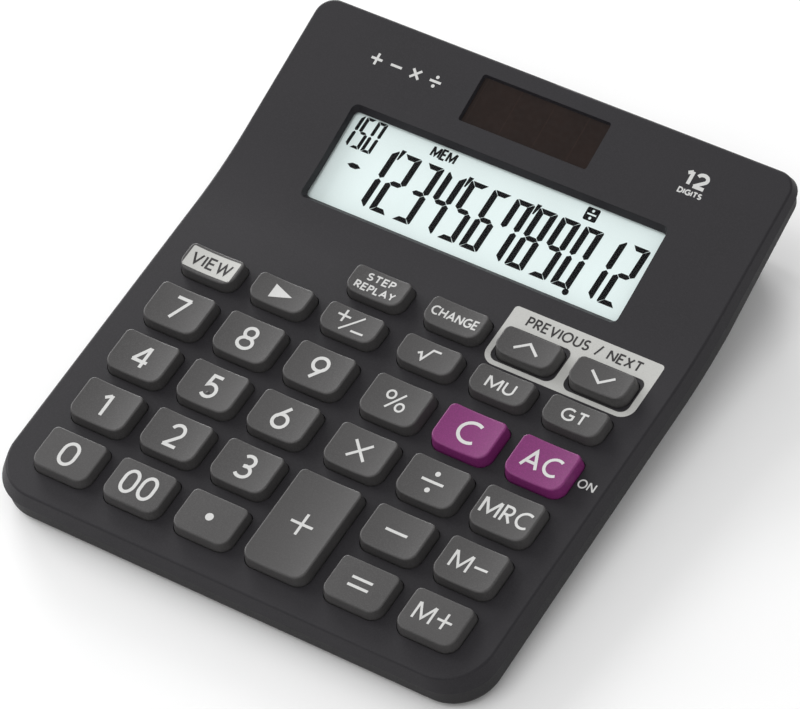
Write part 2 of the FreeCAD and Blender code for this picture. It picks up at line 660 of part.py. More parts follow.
def top_case():
    face = skirt_level((0.0, 0.0, 0.0), 0.0)
    shell = bent_solid([face, skirt_level(SKIRT_DROP, 0.0)])
    shell = shell.makeFillet(TOP_EDGE_ROUND, edges_at(shell, face))
    under = (PLATE, PLATE, PLATE)
    past = tuple(drop + 1.0 for drop in SKIRT_DROP)
    shell = shell.cut(bent_solid([skirt_level(under, WALL), skirt_level(past, WALL)]))
    posts = [placed(post(x, v, PLATE - 0.2, BOARD_TOP, POST_RADIUS), KEYBOARD) for x, v in BOARD_POSTS]
    posts += [placed(post(x, v, PLATE - 0.2, PANEL_BOTTOM, POST_RADIUS), DISPLAY) for x, v in LCD_SCREWS]
    bores = [placed(post(x, v, PLATE + 0.6, BOARD_TOP + 1, POST_BORE), KEYBOARD) for x, v in BOARD_POSTS]
    bores += [placed(post(x, v, PLATE + 0.6, PANEL_BOTTOM + 1, POST_BORE), DISPLAY) for x, v in LCD_SCREWS]
    envelope = bent_solid([skirt_level((1.0, 1.0, 1.0), 1.0), skirt_level((14.0, 14.0, 14.0), 6.0)])
    for x, y, joint in case_screw_places():
        posts.append(upright(x, y, joint, 40.0, CASE_POST_RADIUS).common(envelope))
        bores.append(upright(x, y, joint - 1, joint + SCREW_REACH + 0.4, SCREW_RADIUS + 0.02))
    openings = key_openings()
    openings.append(recess(LCD_HALF, LCD_MIDDLE, LCD_REACH, LCD_LIP, LCD_SIDE_BEVEL, LCD_END_BEVEL,
                           WINDOW_MARGIN + 0.1, 1.2))
    openings.append(recess(SOLAR_HALF, SOLAR_MIDDLE, SOLAR_REACH, SOLAR_LIP, SOLAR_BEVEL, SOLAR_BEVEL,
                           SOLAR_MARGIN + 0.1, 0.5))
    return fused([shell] + posts).cut(bores + openings)


def label_block(half, low, high, radius):
    """Flat block on the underside with its outline as far round the label as half says."""
    grow = half - LABEL_HALF
    return prism(box_wire(half, LABEL_FRONT - grow, LABEL_REAR + grow, radius, radius, low), high - low)


def rating_label():
    """Plain foil label in a shallow recess of the rear cover."""
    top = BASE_HEIGHT + LABEL_RECESS
    return label_block(LABEL_HALF, top - LABEL_THICKNESS, top, 1.0)


def rear_cover():
    inside = bent_solid(cover_levels(WALL, 1.0)).common(above(BASE_INSIDE))
    levels = cover_levels(0.0, -PARTING_GAP)
    outside = bent_solid(levels).common(above(BASE_HEIGHT))
    outside = outside.makeFillet(KNEE_ROUND, edges_at(outside, levels[1]))
    rim = [edge for edge in outside.Edges if edge.BoundBox.ZMax < BASE_HEIGHT + 0.01]
    shell = outside.makeFillet(BASE_ROUND, rim).cut(inside)
    posts = []
    bores = []
    for x, y, joint in case_screw_places():
        posts.append(upright(x, y, BASE_HEIGHT, joint, CASE_POST_RADIUS + 0.6))
        bores.append(upright(x, y, BASE_HEIGHT - 1, joint - SCREW_SEAT, SCREW_HEAD_RADIUS + 0.25))
        bores.append(upright(x, y, BASE_HEIGHT, joint + 1, SCREW_RADIUS + 0.2))
    x, y = CELL_PLACE
    well = upright(x, y, BASE_INSIDE - 0.5, CELL_TOP - 1.5, CELL_RADIUS + 1.4)
    bores.append(upright(x, y, BASE_INSIDE, CELL_TOP, CELL_RADIUS + 0.2))
    bores.append(Part.makeBox(12.0, 3.4, CELL_TOP, V(x, y - 1.7, BASE_INSIDE)))
    for x, y in FEET:
        bores.append(upright(x, y, 0.0, BASE_HEIGHT + FOOT_RECESS, FOOT_RADIUS + 0.1))
    bores.append(label_block(LABEL_HALF + 0.5, BASE_HEIGHT - 1, BASE_HEIGHT + LABEL_RECESS, 1.5))
    tabs = [Part.makeBox(10.0, 1.2, 6.0, V(x - 5.0, KEYBOARD.Base.y + 2.5, BASE_INSIDE - 0.5))
            for x in (-34.0, 0.0, 34.0)]
    return fused([shell, well] + posts + tabs).cut(bores)


def case_screws():
    """Four pan-head screws that hold the rear cover to the top case."""
    screws = []
    for x, y, joint in case_screw_places():
        seat = joint - SCREW_SEAT
        head = upright(x, y, seat - SCREW_HEAD_HEIGHT, seat, SCREW_HEAD_RADIUS)
        rim = [edge for edge in head.Edges if edge.BoundBox.ZMax < seat - SCREW_HEAD_HEIGHT + 0.01]
        head = head.makeFillet(0.6, rim)
        shank = upright(x, y, seat, joint + SCREW_REACH, SCREW_RADIUS)
        low = seat - SCREW_HEAD_HEIGHT
        cross = [Part.makeBox(2.4, 0.6, 0.9, V(x - 1.2, y - 0.3, low)),
                 Part.makeBox(0.6, 2.4, 0.9, V(x - 0.3, y - 1.2, low))]
        screws.append(fused([head, shank]).cut(cross))
    return Part.makeCompound(screws)


def rubber_feet():
    feet = []
    for x, y in FEET:
        foot = upright(x, y, 0.0, BASE_HEIGHT + FOOT_RECESS, FOOT_RADIUS)
        rim = [edge for edge in foot.Edges if edge.BoundBox.ZMax < 0.01]
        feet.append(foot.makeFillet(0.3, rim))
    return Part.makeCompound(feet)


def build():
    nodes = {
        "top_case": top_case(),
        "rear_cover": rear_cover(),
        "rating_label": rating_label(),
        "display_window": display_window(),
        "lcd_panel": lcd_panel(),
        "lcd_frame": lcd_frame(),
        "lcd_screws": lcd_screws(),
        "lcd_ribbon": lcd_ribbon(),
        "solar_cell": solar_cell(),
        "solar_leads": solar_leads(),
        "keypad_sheet": keypad_sheet(),
        "main_board": main_board(),
        "controller_chip": controller(),
        "capacitor": capacitor(),
        "board_screws": board_screws(),
        "button_cell": button_cell(),
        "cell_lower_contact": cell_lower_contact(),
        "cell_upper_contact": cell_upper_contact(),
        "battery_leads": battery_leads(),
        "case_screws": case_screws(),
        "rubber_feet": rubber_feet(),
    }
    nodes.update(key_nodes())
    return nodes


os.makedirs("parts", exist_ok=True)
for name, shape in build().items():
    shape.exportStep("parts/" + name + ".step")
    print(name, len(shape.Solids), round(shape.Volume, 1), shape.isValid())
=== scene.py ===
"""Looks of the mini desktop calculator: materials, printed legends, display contents, light and camera.

Prints are laid out in millimetres on the faces of the object. The scene is in metres.
"""

import json
import math

import bmesh
import bpy
from mathutils import Matrix, Vector
from mathutils.bvhtree import BVHTree
from mathutils.geometry import tessellate_polygon


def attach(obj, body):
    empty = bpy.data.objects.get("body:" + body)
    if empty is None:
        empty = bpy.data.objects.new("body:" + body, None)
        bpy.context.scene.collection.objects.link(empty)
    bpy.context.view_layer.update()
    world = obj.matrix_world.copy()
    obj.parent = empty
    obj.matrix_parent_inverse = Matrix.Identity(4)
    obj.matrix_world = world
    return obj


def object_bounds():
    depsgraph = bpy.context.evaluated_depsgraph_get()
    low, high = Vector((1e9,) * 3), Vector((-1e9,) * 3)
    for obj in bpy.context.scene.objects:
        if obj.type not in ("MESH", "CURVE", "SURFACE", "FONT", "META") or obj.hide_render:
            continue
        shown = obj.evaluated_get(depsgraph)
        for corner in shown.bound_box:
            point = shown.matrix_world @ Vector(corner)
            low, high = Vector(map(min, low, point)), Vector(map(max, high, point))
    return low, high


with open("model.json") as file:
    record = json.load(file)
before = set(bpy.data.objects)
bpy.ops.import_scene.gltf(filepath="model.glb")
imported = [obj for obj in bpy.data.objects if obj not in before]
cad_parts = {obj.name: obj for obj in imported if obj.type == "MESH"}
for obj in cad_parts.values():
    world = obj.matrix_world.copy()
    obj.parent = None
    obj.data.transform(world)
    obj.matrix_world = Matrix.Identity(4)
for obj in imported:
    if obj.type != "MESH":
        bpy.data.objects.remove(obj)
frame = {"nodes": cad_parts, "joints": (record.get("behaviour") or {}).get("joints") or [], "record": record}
CAD_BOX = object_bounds()
NODES = frame["nodes"]
BODY_OF = {node: body for body, nodes in frame["record"]["behaviour"]["bodies"].items() for node in nodes}
MM = 0.001


def add_object(name, data):
    """New object in the scene that holds a mesh, a lamp or a camera."""
    thing = bpy.data.objects.new(name, data)
    bpy.context.scene.collection.objects.link(thing)
    return thing


# --- faces to print on -------------------------------------------------------------------
class Face:
    """A flat face: x to the right and v up its slope, in millimetres."""

    def __init__(self, normal):
        self.out = Vector(normal).normalized()
        self.right = Vector((1.0, 0.0, 0.0))
        self.up = self.out.cross(self.right)

    def span(self, node, axis):
        """Lowest and highest place of a node along an axis."""
        reach = [corner.co.dot(axis) / MM for corner in NODES[node].data.vertices]
        return min(reach), max(reach)

    def middle(self, node):
        """x and v of the middle of a node."""
        return tuple(sum(self.span(node, axis)) / 2 for axis in (self.right, self.up))

    def half_size(self, node):
        """Half the extent of a node along x and along v."""
        spans = [self.span(node, axis) for axis in (self.right, self.up)]
        return tuple((high - low) / 2 for low, high in spans)


FACING_UP = 0.5             # least upward part of the normal of an upper face


def widest_normal(node):
    """Normal of a node's largest upper face."""
    polygons = [polygon for polygon in NODES[node].data.polygons if polygon.normal.z > FACING_UP]
    return max(polygons, key=lambda polygon: polygon.area).normal


PRESS_AXIS = Vector(frame["joints"][0]["axis"])
KEYBOARD = Face(-PRESS_AXIS)
DISPLAY = Face(widest_normal("display_window"))
UNDERSIDE = Face((0.0, 0.0, -1.0))


# --- printing ------------------------------------------------------------------------------
INK_DEPTH = 0.02            # how far ink reaches into and stands out of a surface
SECOND_COAT = 2 * INK_DEPTH     # top of ink that is printed over other ink
STAGGER = 0.003             # difference in height between strokes that cross
STAGGER_LEVELS = 4          # strokes drawn one after another before a height comes again
STEP = 0.5                  # longest stretch of ink that stays straight
SKY = 200.0                 # a start above every surface, for finding it from outside
MITRE_LIMIT = 0.5           # least cosine of half a corner's turn, so that its tip stays short
CUT_TOLERANCE = 1e-5        # a cut that passes a corner this closely goes through it
trees = {}                  # of each node's surface, made when it is first printed on


def surface_tree(node):
    """Search tree of a node's surface."""
    if node not in trees:
        data = NODES[node].data
        corners = [corner.co for corner in data.vertices]
        trees[node] = BVHTree.FromPolygons(corners, [tuple(p.vertices) for p in data.polygons])
    return trees[node]


def quarter_turn(direction):
    return Vector((-direction.y, direction.x))


def subdivided(points, closed):
    """The same path with no stretch longer than STEP."""
    ends = points[1:] + points[:1] if closed else points[1:]
    path = []
    for start, end in zip(points, ends):
        count = max(1, math.ceil((end - start).length / STEP))
        path += [start.lerp(end, i / count) for i in range(count)]
    return path if closed else path + [points[-1]]


def cut_across(flat, axis, low, high, step):
    """Cut a flat mesh into strips of one step's width along an axis."""
    for i in range(1, math.ceil((high - low) / step)):
        place = Vector((0.0, 0.0, 0.0))
        place[axis] = low + i * step
        normal = Vector((0.0, 0.0, 0.0))
        normal[axis] = 1.0
        parts = flat.verts[:] + flat.edges[:] + flat.faces[:]
        bmesh.ops.bisect_plane(flat, geom=parts, dist=CUT_TOLERANCE, plane_co=place, plane_no=normal)


class Print:
    """Ink on the surface of one CAD node, drawn in millimetres about a point of a face."""

    def __init__(self, name, node, face, centre, material, lift=INK_DEPTH):
        self.name = name
        self.node = node
        self.face = face
        self.centre = centre
        self.material = material
        self.lift = lift
        self.strokes = 0
        self.ink = bmesh.new()

    def spot(self, point, height):
        """Place in the part's frame of a drawn point at a height over the surface."""
        face = self.face
        over = face.right * (self.centre[0] + point.x) + face.up * (self.centre[1] + point.y)
        start = (over + face.out * SKY) * MM
        hit = surface_tree(self.node).ray_cast(start, -face.out)[0]
        return hit + face.out * height * MM

    def corner(self, point):
        """A vertex on top of the ink and one under it."""
        stagger = self.strokes % STAGGER_LEVELS * STAGGER
        return (self.ink.verts.new(self.spot(point, self.lift + stagger)),
                self.ink.verts.new(self.spot(point, -INK_DEPTH - stagger)))

    def sections(self, path, width, closed):
        """The four vertices of the stroke's cross-section at each point of its path."""
        count = len(path)
        found = []
        for i, point in enumerate(path):
            before = path[i - 1] if i > 0 or closed else None
            after = path[(i + 1) % count] if i < count - 1 or closed else None
            onward = None if after is None else (after - point).normalized()
            into = onward if before is None else (point - before).normalized()
            onward = into if onward is None else onward
            across = (quarter_turn(into) + quarter_turn(onward)).normalized()
            reach = width / 2 / max(across.dot(quarter_turn(into)), MITRE_LIMIT)
            found.append(self.corner(point + across * reach) + self.corner(point - across * reach))
        return found

    def stroke(self, points, width, closed=False):
        """A line of even width through the points, with mitred corners and flat ends."""
        self.strokes += 1
        path = subdivided([Vector(point) for point in points], closed)
        sections = self.sections(path, width, closed)
        onward = sections[1:] + sections[:1] if closed else sections[1:]
        for (a_top, a_low, b_top, b_low), (c_top, c_low, d_top, d_low) in zip(sections, onward):
            self.ink.faces.new((a_top, b_top, d_top, c_top))
            self.ink.faces.new((a_low, c_low, d_low, b_low))
            self.ink.faces.new((a_top, c_top, c_low, a_low))
            self.ink.faces.new((b_top, b_low, d_low, d_top))
        if not closed:
            for a_top, a_low, b_top, b_low in (sections[0], sections[-1]):
                self.ink.faces.new((a_top, a_low, b_low, b_top))

    def area(self, outline, holes=(), step=STEP):
        """A filled shape inside an outline and outside its holes."""
        loops = [[Vector(point).to_3d() for point in loop] for loop in (outline, *holes)]
        flat = bmesh.new()
        corners = [flat.verts.new(point) for loop in loops for point in loop]
        for triangle in tessellate_polygon(loops):
            flat.faces.new([corners[i] for i in triangle])
        for axis in (0, 1):
            reach = [point[axis] for point in loops[0]]
            cut_across(flat, axis, min(reach), max(reach), step)
        pairs = {vertex: self.corner(vertex.co.to_2d()) for vertex in flat.verts}
        for polygon in flat.faces:
            rim = polygon.verts[:]
            self.ink.faces.new([pairs[vertex][0] for vertex in rim])
            self.ink.faces.new([pairs[vertex][1] for vertex in reversed(rim)])
        for edge in flat.edges:
            if edge.is_boundary:
                start, end = (pairs[vertex] for vertex in edge.verts)
                self.ink.faces.new((start[0], end[0], end[1], start[1]))
        flat.free()

    def text(self, words, height, width, weight, at=(0.0, 0.0)):
        """A line of capitals or digits, as wide as asked, about a point."""
        for points, closed in lettering(words, height, width, weight):
            self.stroke([Vector(point) + Vector(at) for point in points], weight, closed)

    def dot(self, x, y, radius):
        self.area(ring((x, y), radius, radius))

    def finish(self):
        """Make the piece, which rides on its node's body."""
        bmesh.ops.recalc_face_normals(self.ink, faces=self.ink.faces[:])
        mesh = bpy.data.meshes.new(self.name)
        self.ink.to_mesh(mesh)
        self.ink.free()
        mesh.materials.append(self.material)
        piece = add_object(self.name, mesh)
        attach(piece, BODY_OF[self.node])


# --- drawn shapes ---------------------------------------------------------------------------
CORNER_PIECES = 8           # straight pieces round a corner of a box


def arc(centre, rx, ry, start, end, count=14):
    """Points on an ellipse from one angle to another, in degrees, with count pieces between them."""
    turns = [math.radians(start + (end - start) * i / count) for i in range(count + 1)]
    return [(centre[0] + rx * math.cos(t), centre[1] + ry * math.sin(t)) for t in turns]


def ring(centre, rx, ry, count=28):
    return arc(centre, rx, ry, 0.0, 360.0, count)[:-1]


def rounded_box(half_x, half_y, low_radius, high_radius, centre=(0.0, 0.0)):
    """Box outline with its own corner radius at the front and at the rear."""
    x, y = centre
    outline = []
    for side_x, side_y, start in ((1, -1, -90), (1, 1, 0), (-1, 1, 90), (-1, -1, 180)):
        radius = high_radius if side_y > 0 else low_radius
        middle = (x + side_x * (half_x - radius), y + side_y * (half_y - radius))
        outline += arc(middle, radius, radius, start, start + 90, CORNER_PIECES)
    return outline


# --- lettering ------------------------------------------------------------------------------
def line(*points):
    """An open stroke of a glyph."""
    return list(points), False


def loop(points):
    """A stroke of a glyph that closes on itself."""
    return points, True


STEM = line((0.0, 0.0), (0.0, 1.0))
STEM_AND_BOWL = line((0.0, 0.0), (0.0, 1.0), *arc((0.27, 0.74), 0.25, 0.26, 90, -90, 10), (0.0, 0.48))

# Each glyph is its width and its strokes, on a grid where capitals are 1 high. At sharp
# corners the strokes only touch, because a mitre would reach too far.
GLYPHS = {
    " ": (0.30, []),
    "0": (0.66, [loop(arc((0.33, 0.62), 0.33, 0.38, 0, 180) + arc((0.33, 0.38), 0.33, 0.38, 180, 360))]),
    "1": (0.30, [line((0.0, 0.80), (0.25, 0.98)), line((0.27, 1.0), (0.27, 0.0))]),
    "2": (0.64, [line(*arc((0.31, 0.70), 0.30, 0.30, 165, -35), (0.03, 0.0)), line((0.0, 0.0), (0.64, 0.0))]),
    "3": (0.62, [line(*arc((0.29, 0.75), 0.27, 0.25, 140, -90, 12), (0.18, 0.50)),
                 line((0.18, 0.50), *arc((0.29, 0.265), 0.32, 0.265, 90, -145))]),
    "4": (0.68, [line((0.50, 0.0), (0.50, 1.0)), line((0.47, 0.98), (0.03, 0.28)),
                 line((0.0, 0.28), (0.68, 0.28))]),
    "5": (0.60, [line((0.54, 1.0), (0.12, 1.0), (0.07, 0.54), *arc((0.27, 0.31), 0.32, 0.31, 110, -140))]),
    "6": (0.64, [loop(ring((0.32, 0.31), 0.32, 0.31)), line((0.47, 1.0), (0.06, 0.46))]),
    "7": (0.62, [line((0.0, 1.0), (0.62, 1.0)), line((0.60, 1.0), (0.17, 0.0))]),
    "8": (0.66, [loop(ring((0.33, 0.755), 0.26, 0.245)), loop(ring((0.33, 0.265), 0.33, 0.265))]),
    "9": (0.64, [loop(ring((0.32, 0.69), 0.32, 0.31)), line((0.17, 0.0), (0.58, 0.54))]),
    "/": (0.40, [line((0.0, -0.08), (0.40, 1.08))]),
    "-": (0.78, [line((0.0, 0.5), (0.78, 0.5))]),
    "+": (0.86, [line((0.0, 0.5), (0.86, 0.5)), line((0.43, 0.02), (0.43, 0.98))]),
    "A": (0.82, [line((0.0, 0.0), (0.41, 1.0), (0.82, 0.0)), line((0.14, 0.32), (0.68, 0.32))]),
    "C": (0.74, [line(*arc((0.49, 0.5), 0.49, 0.5, 55, 305, 20))]),
    "D": (0.74, [loop([(0.0, 0.0), *arc((0.30, 0.5), 0.44, 0.5, -90, 90), (0.0, 1.0)])]),
    "E": (0.54, [line((0.54, 1.0), (0.0, 1.0), (0.0, 0.0), (0.54, 0.0)), line((0.0, 0.52), (0.48, 0.52))]),
    "G": (0.86, [line(*arc((0.49, 0.5), 0.49, 0.5, 55, 318, 20), (0.86, 0.46), (0.52, 0.46))]),
    "H": (0.70, [STEM, line((0.70, 0.0), (0.70, 1.0)), line((0.0, 0.52), (0.70, 0.52))]),
    "I": (0.02, [line((0.01, 0.0), (0.01, 1.0))]),
    "L": (0.50, [line((0.0, 1.0), (0.0, 0.0), (0.50, 0.0))]),
    "M": (0.96, [STEM, line((0.03, 1.0), (0.48, 0.14), (0.93, 1.0)), line((0.96, 0.0), (0.96, 1.0))]),
    "N": (0.74, [STEM, line((0.02, 1.0), (0.72, 0.0)), line((0.74, 0.0), (0.74, 1.0))]),
    "O": (0.94, [loop(ring((0.47, 0.5), 0.47, 0.5))]),
    "P": (0.52, [STEM_AND_BOWL]),
    "R": (0.58, [STEM_AND_BOWL, line((0.22, 0.48), (0.58, 0.0))]),
    "S": (0.54, [line(*arc((0.27, 0.745), 0.25, 0.255, 40, 250, 12),
                      *arc((0.27, 0.255), 0.27, 0.255, 70, -150, 12))]),
    "T": (0.66, [line((0.0, 1.0), (0.66, 1.0)), line((0.33, 1.0), (0.33, 0.0))]),
    "U": (0.70, [line((0.0, 1.0), *arc((0.35, 0.33), 0.35, 0.33, 180, 360, 12), (0.70, 1.0))]),
    "V": (0.72, [line((0.0, 1.0), (0.36, 0.0), (0.72, 1.0))]),
    "W": (1.08, [line((0.0, 1.0), (0.27, 0.0), (0.54, 0.95), (0.81, 0.0), (1.08, 1.0))]),
    "X": (0.66, [line((0.0, 0.0), (0.66, 1.0)), line((0.0, 1.0), (0.66, 0.0))]),
    "Y": (0.66, [line((0.0, 1.0), (0.33, 0.48), (0.66, 1.0)), line((0.33, 0.48), (0.33, 0.0))]),
}
LETTER_GAP = 0.30           # on the same grid


def lettering(words, height, width, weight):
    """Strokes of a line of text about 0, 0; height and width are over the outside of the strokes."""
    natural = sum(GLYPHS[letter][0] for letter in words) + LETTER_GAP * (len(words) - 1)
    tall = height - weight
    wide = (width - weight) / natural
    x = -natural / 2
    strokes = []
    for letter in words:
        advance, parts = GLYPHS[letter]
        for points, closed in parts:
            strokes.append(([((x + px) * wide, (py - 0.5) * tall) for px, py in points], closed))
        x += advance + LETTER_GAP
    return strokes


# --- materials -------------------------------------------------------------------------------
WAVE_TURN = 20.0            # Blender's wave texture turns this many radians per unit of its scale
COLOUR_INPUTS = (6, 7)      # places of the Mix node's colours among its sockets
COLOUR_OUTPUT = 2


def shade(colour, amount):
    return tuple(channel * amount for channel in colour)


class Finish:
    """A node material on a Principled shader, patterned by the object's own coordinates."""

    def __init__(self, name, roughness, **settings):
        self.material = bpy.data.materials.new(name)
        self.material.use_nodes = True
        self.nodes = self.material.node_tree.nodes
        self.links = self.material.node_tree.links
        self.shader = self.nodes["Principled BSDF"]
        self.shader.inputs["Roughness"].default_value = roughness
        for socket, value in settings.items():
            self.shader.inputs[socket.replace("_", " ")].default_value = value
        self.place = self.nodes.new("ShaderNodeTexCoord").outputs["Object"]

    def link(self, source, node, socket):
        self.links.new(source, node.inputs[socket])

    def noise(self, size_mm, detail=2.0, stretch=None):
        """Noise with features of about this size; stretch lengthens them along x, y or z."""
        node = self.nodes.new("ShaderNodeTexNoise")
        node.inputs["Scale"].default_value = 1.0 / (size_mm * MM)
        node.inputs["Detail"].default_value = detail
        source = self.place
        if stretch:
            mapping = self.nodes.new("ShaderNodeMapping")
            mapping.inputs["Scale"].default_value = tuple(1.0 / s for s in stretch)
            self.link(self.place, mapping, "Vector")
            source = mapping.outputs["Vector"]
        self.link(source, node, "Vector")
        return node.outputs["Fac"]

    def cells(self, size_mm):
        node = self.nodes.new("ShaderNodeTexVoronoi")
        node.inputs["Scale"].default_value = 1.0 / (size_mm * MM)
        self.link(self.place, node, "Vector")
        return node.outputs["Distance"]

    def bands(self, pitch_mm, phase=0.0):
        """Bands that follow one another along x."""
        node = self.nodes.new("ShaderNodeTexWave")
        node.inputs["Scale"].default_value = math.tau / (WAVE_TURN * pitch_mm * MM)
        node.inputs["Phase Offset"].default_value = phase
        self.link(self.place, node, "Vector")
        return node.outputs["Fac"]

    def tracks(self, length_mm, gap):
        """The joints of a brickwork pattern."""
        node = self.nodes.new("ShaderNodeTexBrick")
        node.inputs["Scale"].default_value = 1.0 / (length_mm * MM)
        node.inputs["Mortar Size"].default_value = gap
        self.link(self.place, node, "Vector")
        return node.outputs["Fac"]

    def ramp(self, source, low, high, start=0.3, end=0.7):
        """A smooth change between two colours, or two numbers, over part of a pattern."""
        node = self.nodes.new("ShaderNodeValToRGB")
        node.color_ramp.interpolation = "EASE"
        for stop, place, value in zip(node.color_ramp.elements, (start, end), (low, high)):
            stop.position = place
            stop.color = (*value, 1.0) if isinstance(value, tuple) else (value, value, value, 1.0)
        self.link(source, node, "Fac")
        return node.outputs["Color"]

    def mask(self, source, start, end):
        """0 below the start of part of a pattern and 1 above its end."""
        return self.ramp(source, 0.0, 1.0, start, end)

    def tones(self, source, colour, darkest, lightest, start=0.3, end=0.7):
        """A smooth change between two shades of a colour."""
        return self.ramp(source, shade(colour, darkest), shade(colour, lightest), start, end)

    def blend(self, mask, base, top):
        """base where the mask is 0 and top where it is 1."""
        node = self.nodes.new("ShaderNodeMix")
        node.data_type = "RGBA"
        self.link(mask, node, "Factor")
        for socket, value in zip(COLOUR_INPUTS, (base, top)):
            if isinstance(value, tuple):
                node.inputs[socket].default_value = (*value, 1.0)
            else:
                self.link(value, node, socket)
        return node.outputs[COLOUR_OUTPUT]

    def colour(self, source):
        self.link(source, self.shader, "Base Color")

    def roughness(self, source, low, high):
        self.link(self.ramp(source, low, high), self.shader, "Roughness")

    def bump(self, *layers):
        """Relief in layers of a pattern, its strength and its height in millimetres."""
        normal = None
        for pattern, strength, height in layers:
            node = self.nodes.new("ShaderNodeBump")
            node.inputs["Strength"].default_value = strength
            node.inputs["Distance"].default_value = height * MM
            self.link(pattern, node, "Height")
            if normal:
                self.link(normal, node, "Normal")
            normal = node.outputs["Normal"]
        self.link(normal, self.shader, "Normal")


def moulded(name, colour, roughness, grain_mm=0.22, grain=0.35, gloss=0.3):
    """Injection-moulded plastic: eroded grain, slightly uneven gloss and a trace of speckle."""
    finish = Finish(name, roughness, Specular_IOR_Level=gloss)
    fine = finish.noise(grain_mm, detail=3.0)
    broad = finish.noise(18.0)
    speckle = finish.mask(finish.noise(grain_mm * 1.7, detail=1.0), 0.42, 0.66)
    base = finish.tones(broad, colour, 0.93, 1.06)
    finish.colour(finish.blend(speckle, base, shade(colour, 1.22)))
    finish.roughness(fine, roughness - 0.07, roughness + 0.09)
    finish.bump((fine, grain, 0.02), (broad, 0.10, 0.10))
    return finish.material


def metal(name, colour, roughness, grain=(1.0, 1.0, 1.0)):
    """Bare or plated metal with fine scratches, longer along one axis if the grain says so."""
    finish = Finish(name, roughness, Metallic=1.0)
    scratches = finish.noise(0.12, detail=3.0, stretch=grain)
    finish.colour(finish.tones(finish.noise(2.5), colour, 0.86, 1.0))
    finish.roughness(scratches, roughness - 0.08, roughness + 0.12)
    finish.bump((scratches, 0.25, 0.01))
    return finish.material


def rubber(name, colour, roughness):
    """Matt rubber with pores and patches of dust."""
    finish = Finish(name, roughness)
    dust = finish.mask(finish.noise(3.0, detail=4.0), 0.5, 0.85)
    finish.colour(finish.blend(dust, colour, shade(colour, 1.7)))
    finish.roughness(finish.noise(0.6), roughness - 0.1, roughness + 0.1)
    finish.bump((finish.cells(0.3), 0.3, 0.03))
    return finish.material


def film(name, colour, roughness, stripe_mm=None, stripe=None):
    """Smooth sheet or coating, with printed stripes along y if a pitch is given."""
    finish = Finish(name, roughness)
    waves = finish.noise(4.0)
    base = finish.tones(waves, colour, 0.92, 1.05)
    if stripe_mm:
        base = finish.blend(finish.mask(finish.bands(stripe_mm), 0.55, 0.65), base, stripe)
    finish.colour(base)
    finish.roughness(finish.noise(0.9), roughness - 0.04, roughness + 0.08)
    finish.bump((waves, 0.2, 0.05))
    return finish.material


def ink(name, colour, roughness=0.5, gloss=0.25):
    """Pad-printed ink: a hair of unevenness in cover and gloss."""
    finish = Finish(name, roughness, Specular_IOR_Level=gloss)
    cover = finish.noise(0.18, detail=3.0)
    finish.colour(finish.tones(cover, colour, 0.88, 1.0, start=0.25, end=0.55))
    finish.roughness(finish.noise(0.5), roughness - 0.08, roughness + 0.08)
    finish.bump((cover, 0.2, 0.01))
    return finish.material


def clear_pane(name):
    """Thin clear plastic: a mirror that grows towards grazing angles over a see-through sheet."""
    finish = Finish(name, 0.06)
    nodes = finish.nodes
    through = nodes.new("ShaderNodeBsdfTransparent")
    through.inputs["Color"].default_value = (0.985, 0.992, 0.99, 1.0)
    gloss = nodes.new("ShaderNodeBsdfGlossy")
    gloss.inputs["Roughness"].default_value = 0.05
    ripple = nodes.new("ShaderNodeBump")
    ripple.inputs["Strength"].default_value = 0.04
    ripple.inputs["Distance"].default_value = 0.05 * MM
    finish.link(finish.noise(9.0, detail=1.0), ripple, "Height")
    finish.link(ripple.outputs["Normal"], gloss, "Normal")
    share = nodes.new("ShaderNodeLayerWeight")
    share.inputs["Blend"].default_value = 0.04
    both = nodes.new("ShaderNodeMixShader")
    finish.link(share.outputs["Facing"], both, "Fac")
    finish.link(through.outputs["BSDF"], both, 1)
    finish.link(gloss.outputs["BSDF"], both, 2)
    finish.link(both.outputs["Shader"], nodes["Material Output"], "Surface")
    nodes.remove(finish.shader)
    return finish.material


def lcd_face(name, colour):
    """Pale reflective display with the faint grain of its reflector."""
    finish = Finish(name, 0.35, Specular_IOR_Level=0.2)
    grain = finish.noise(0.12)
    base = finish.tones(finish.noise(14.0, detail=1.0), colour, 0.985, 1.015)
    finish.colour(finish.blend(finish.mask(grain, 0.45, 0.75), base, shade(colour, 1.04)))
    finish.roughness(grain, 0.30, 0.42)
    finish.bump((grain, 0.05, 0.01))
    return finish.material


def solar_glass(name, colour, strip_mm):
    """Dark cell under glass, divided into strips by thin lines."""
    finish = Finish(name, 0.22, Specular_IOR_Level=0.2)
    lines = finish.mask(finish.bands(strip_mm, phase=math.pi / 2), 0.996, 0.9995)
    base = finish.tones(finish.noise(6.0), colour, 0.9, 1.1)
    finish.colour(finish.blend(lines, base, shade(colour, 1.4)))
    finish.roughness(finish.noise(1.2), 0.18, 0.27)
    finish.bump((finish.noise(0.5), 0.05, 0.01))
    return finish.material


def circuit_board(name, mask_colour, track_colour):
    """Solder mask over copper tracks that show as lighter, raised lines."""
    finish = Finish(name, 0.32)
    tracks = finish.mask(finish.tracks(9.0, gap=0.03), 0.4, 0.6)
    base = finish.tones(finish.noise(7.0), mask_colour, 0.85, 1.1)
    finish.colour(finish.blend(tracks, base, track_colour))
    finish.roughness(finish.noise(0.4), 0.26, 0.4)
    finish.bump((tracks, 0.4, 0.04), (finish.noise(0.25), 0.1, 0.01))
    return finish.material


SOLAR_STRIPS = 4
SOLAR_STRIP = 2 * DISPLAY.half_size("solar_cell")[0] / SOLAR_STRIPS

KEY_SATIN = {"roughness": 0.40, "grain_mm": 0.16, "grain": 0.18, "gloss": 0.4}

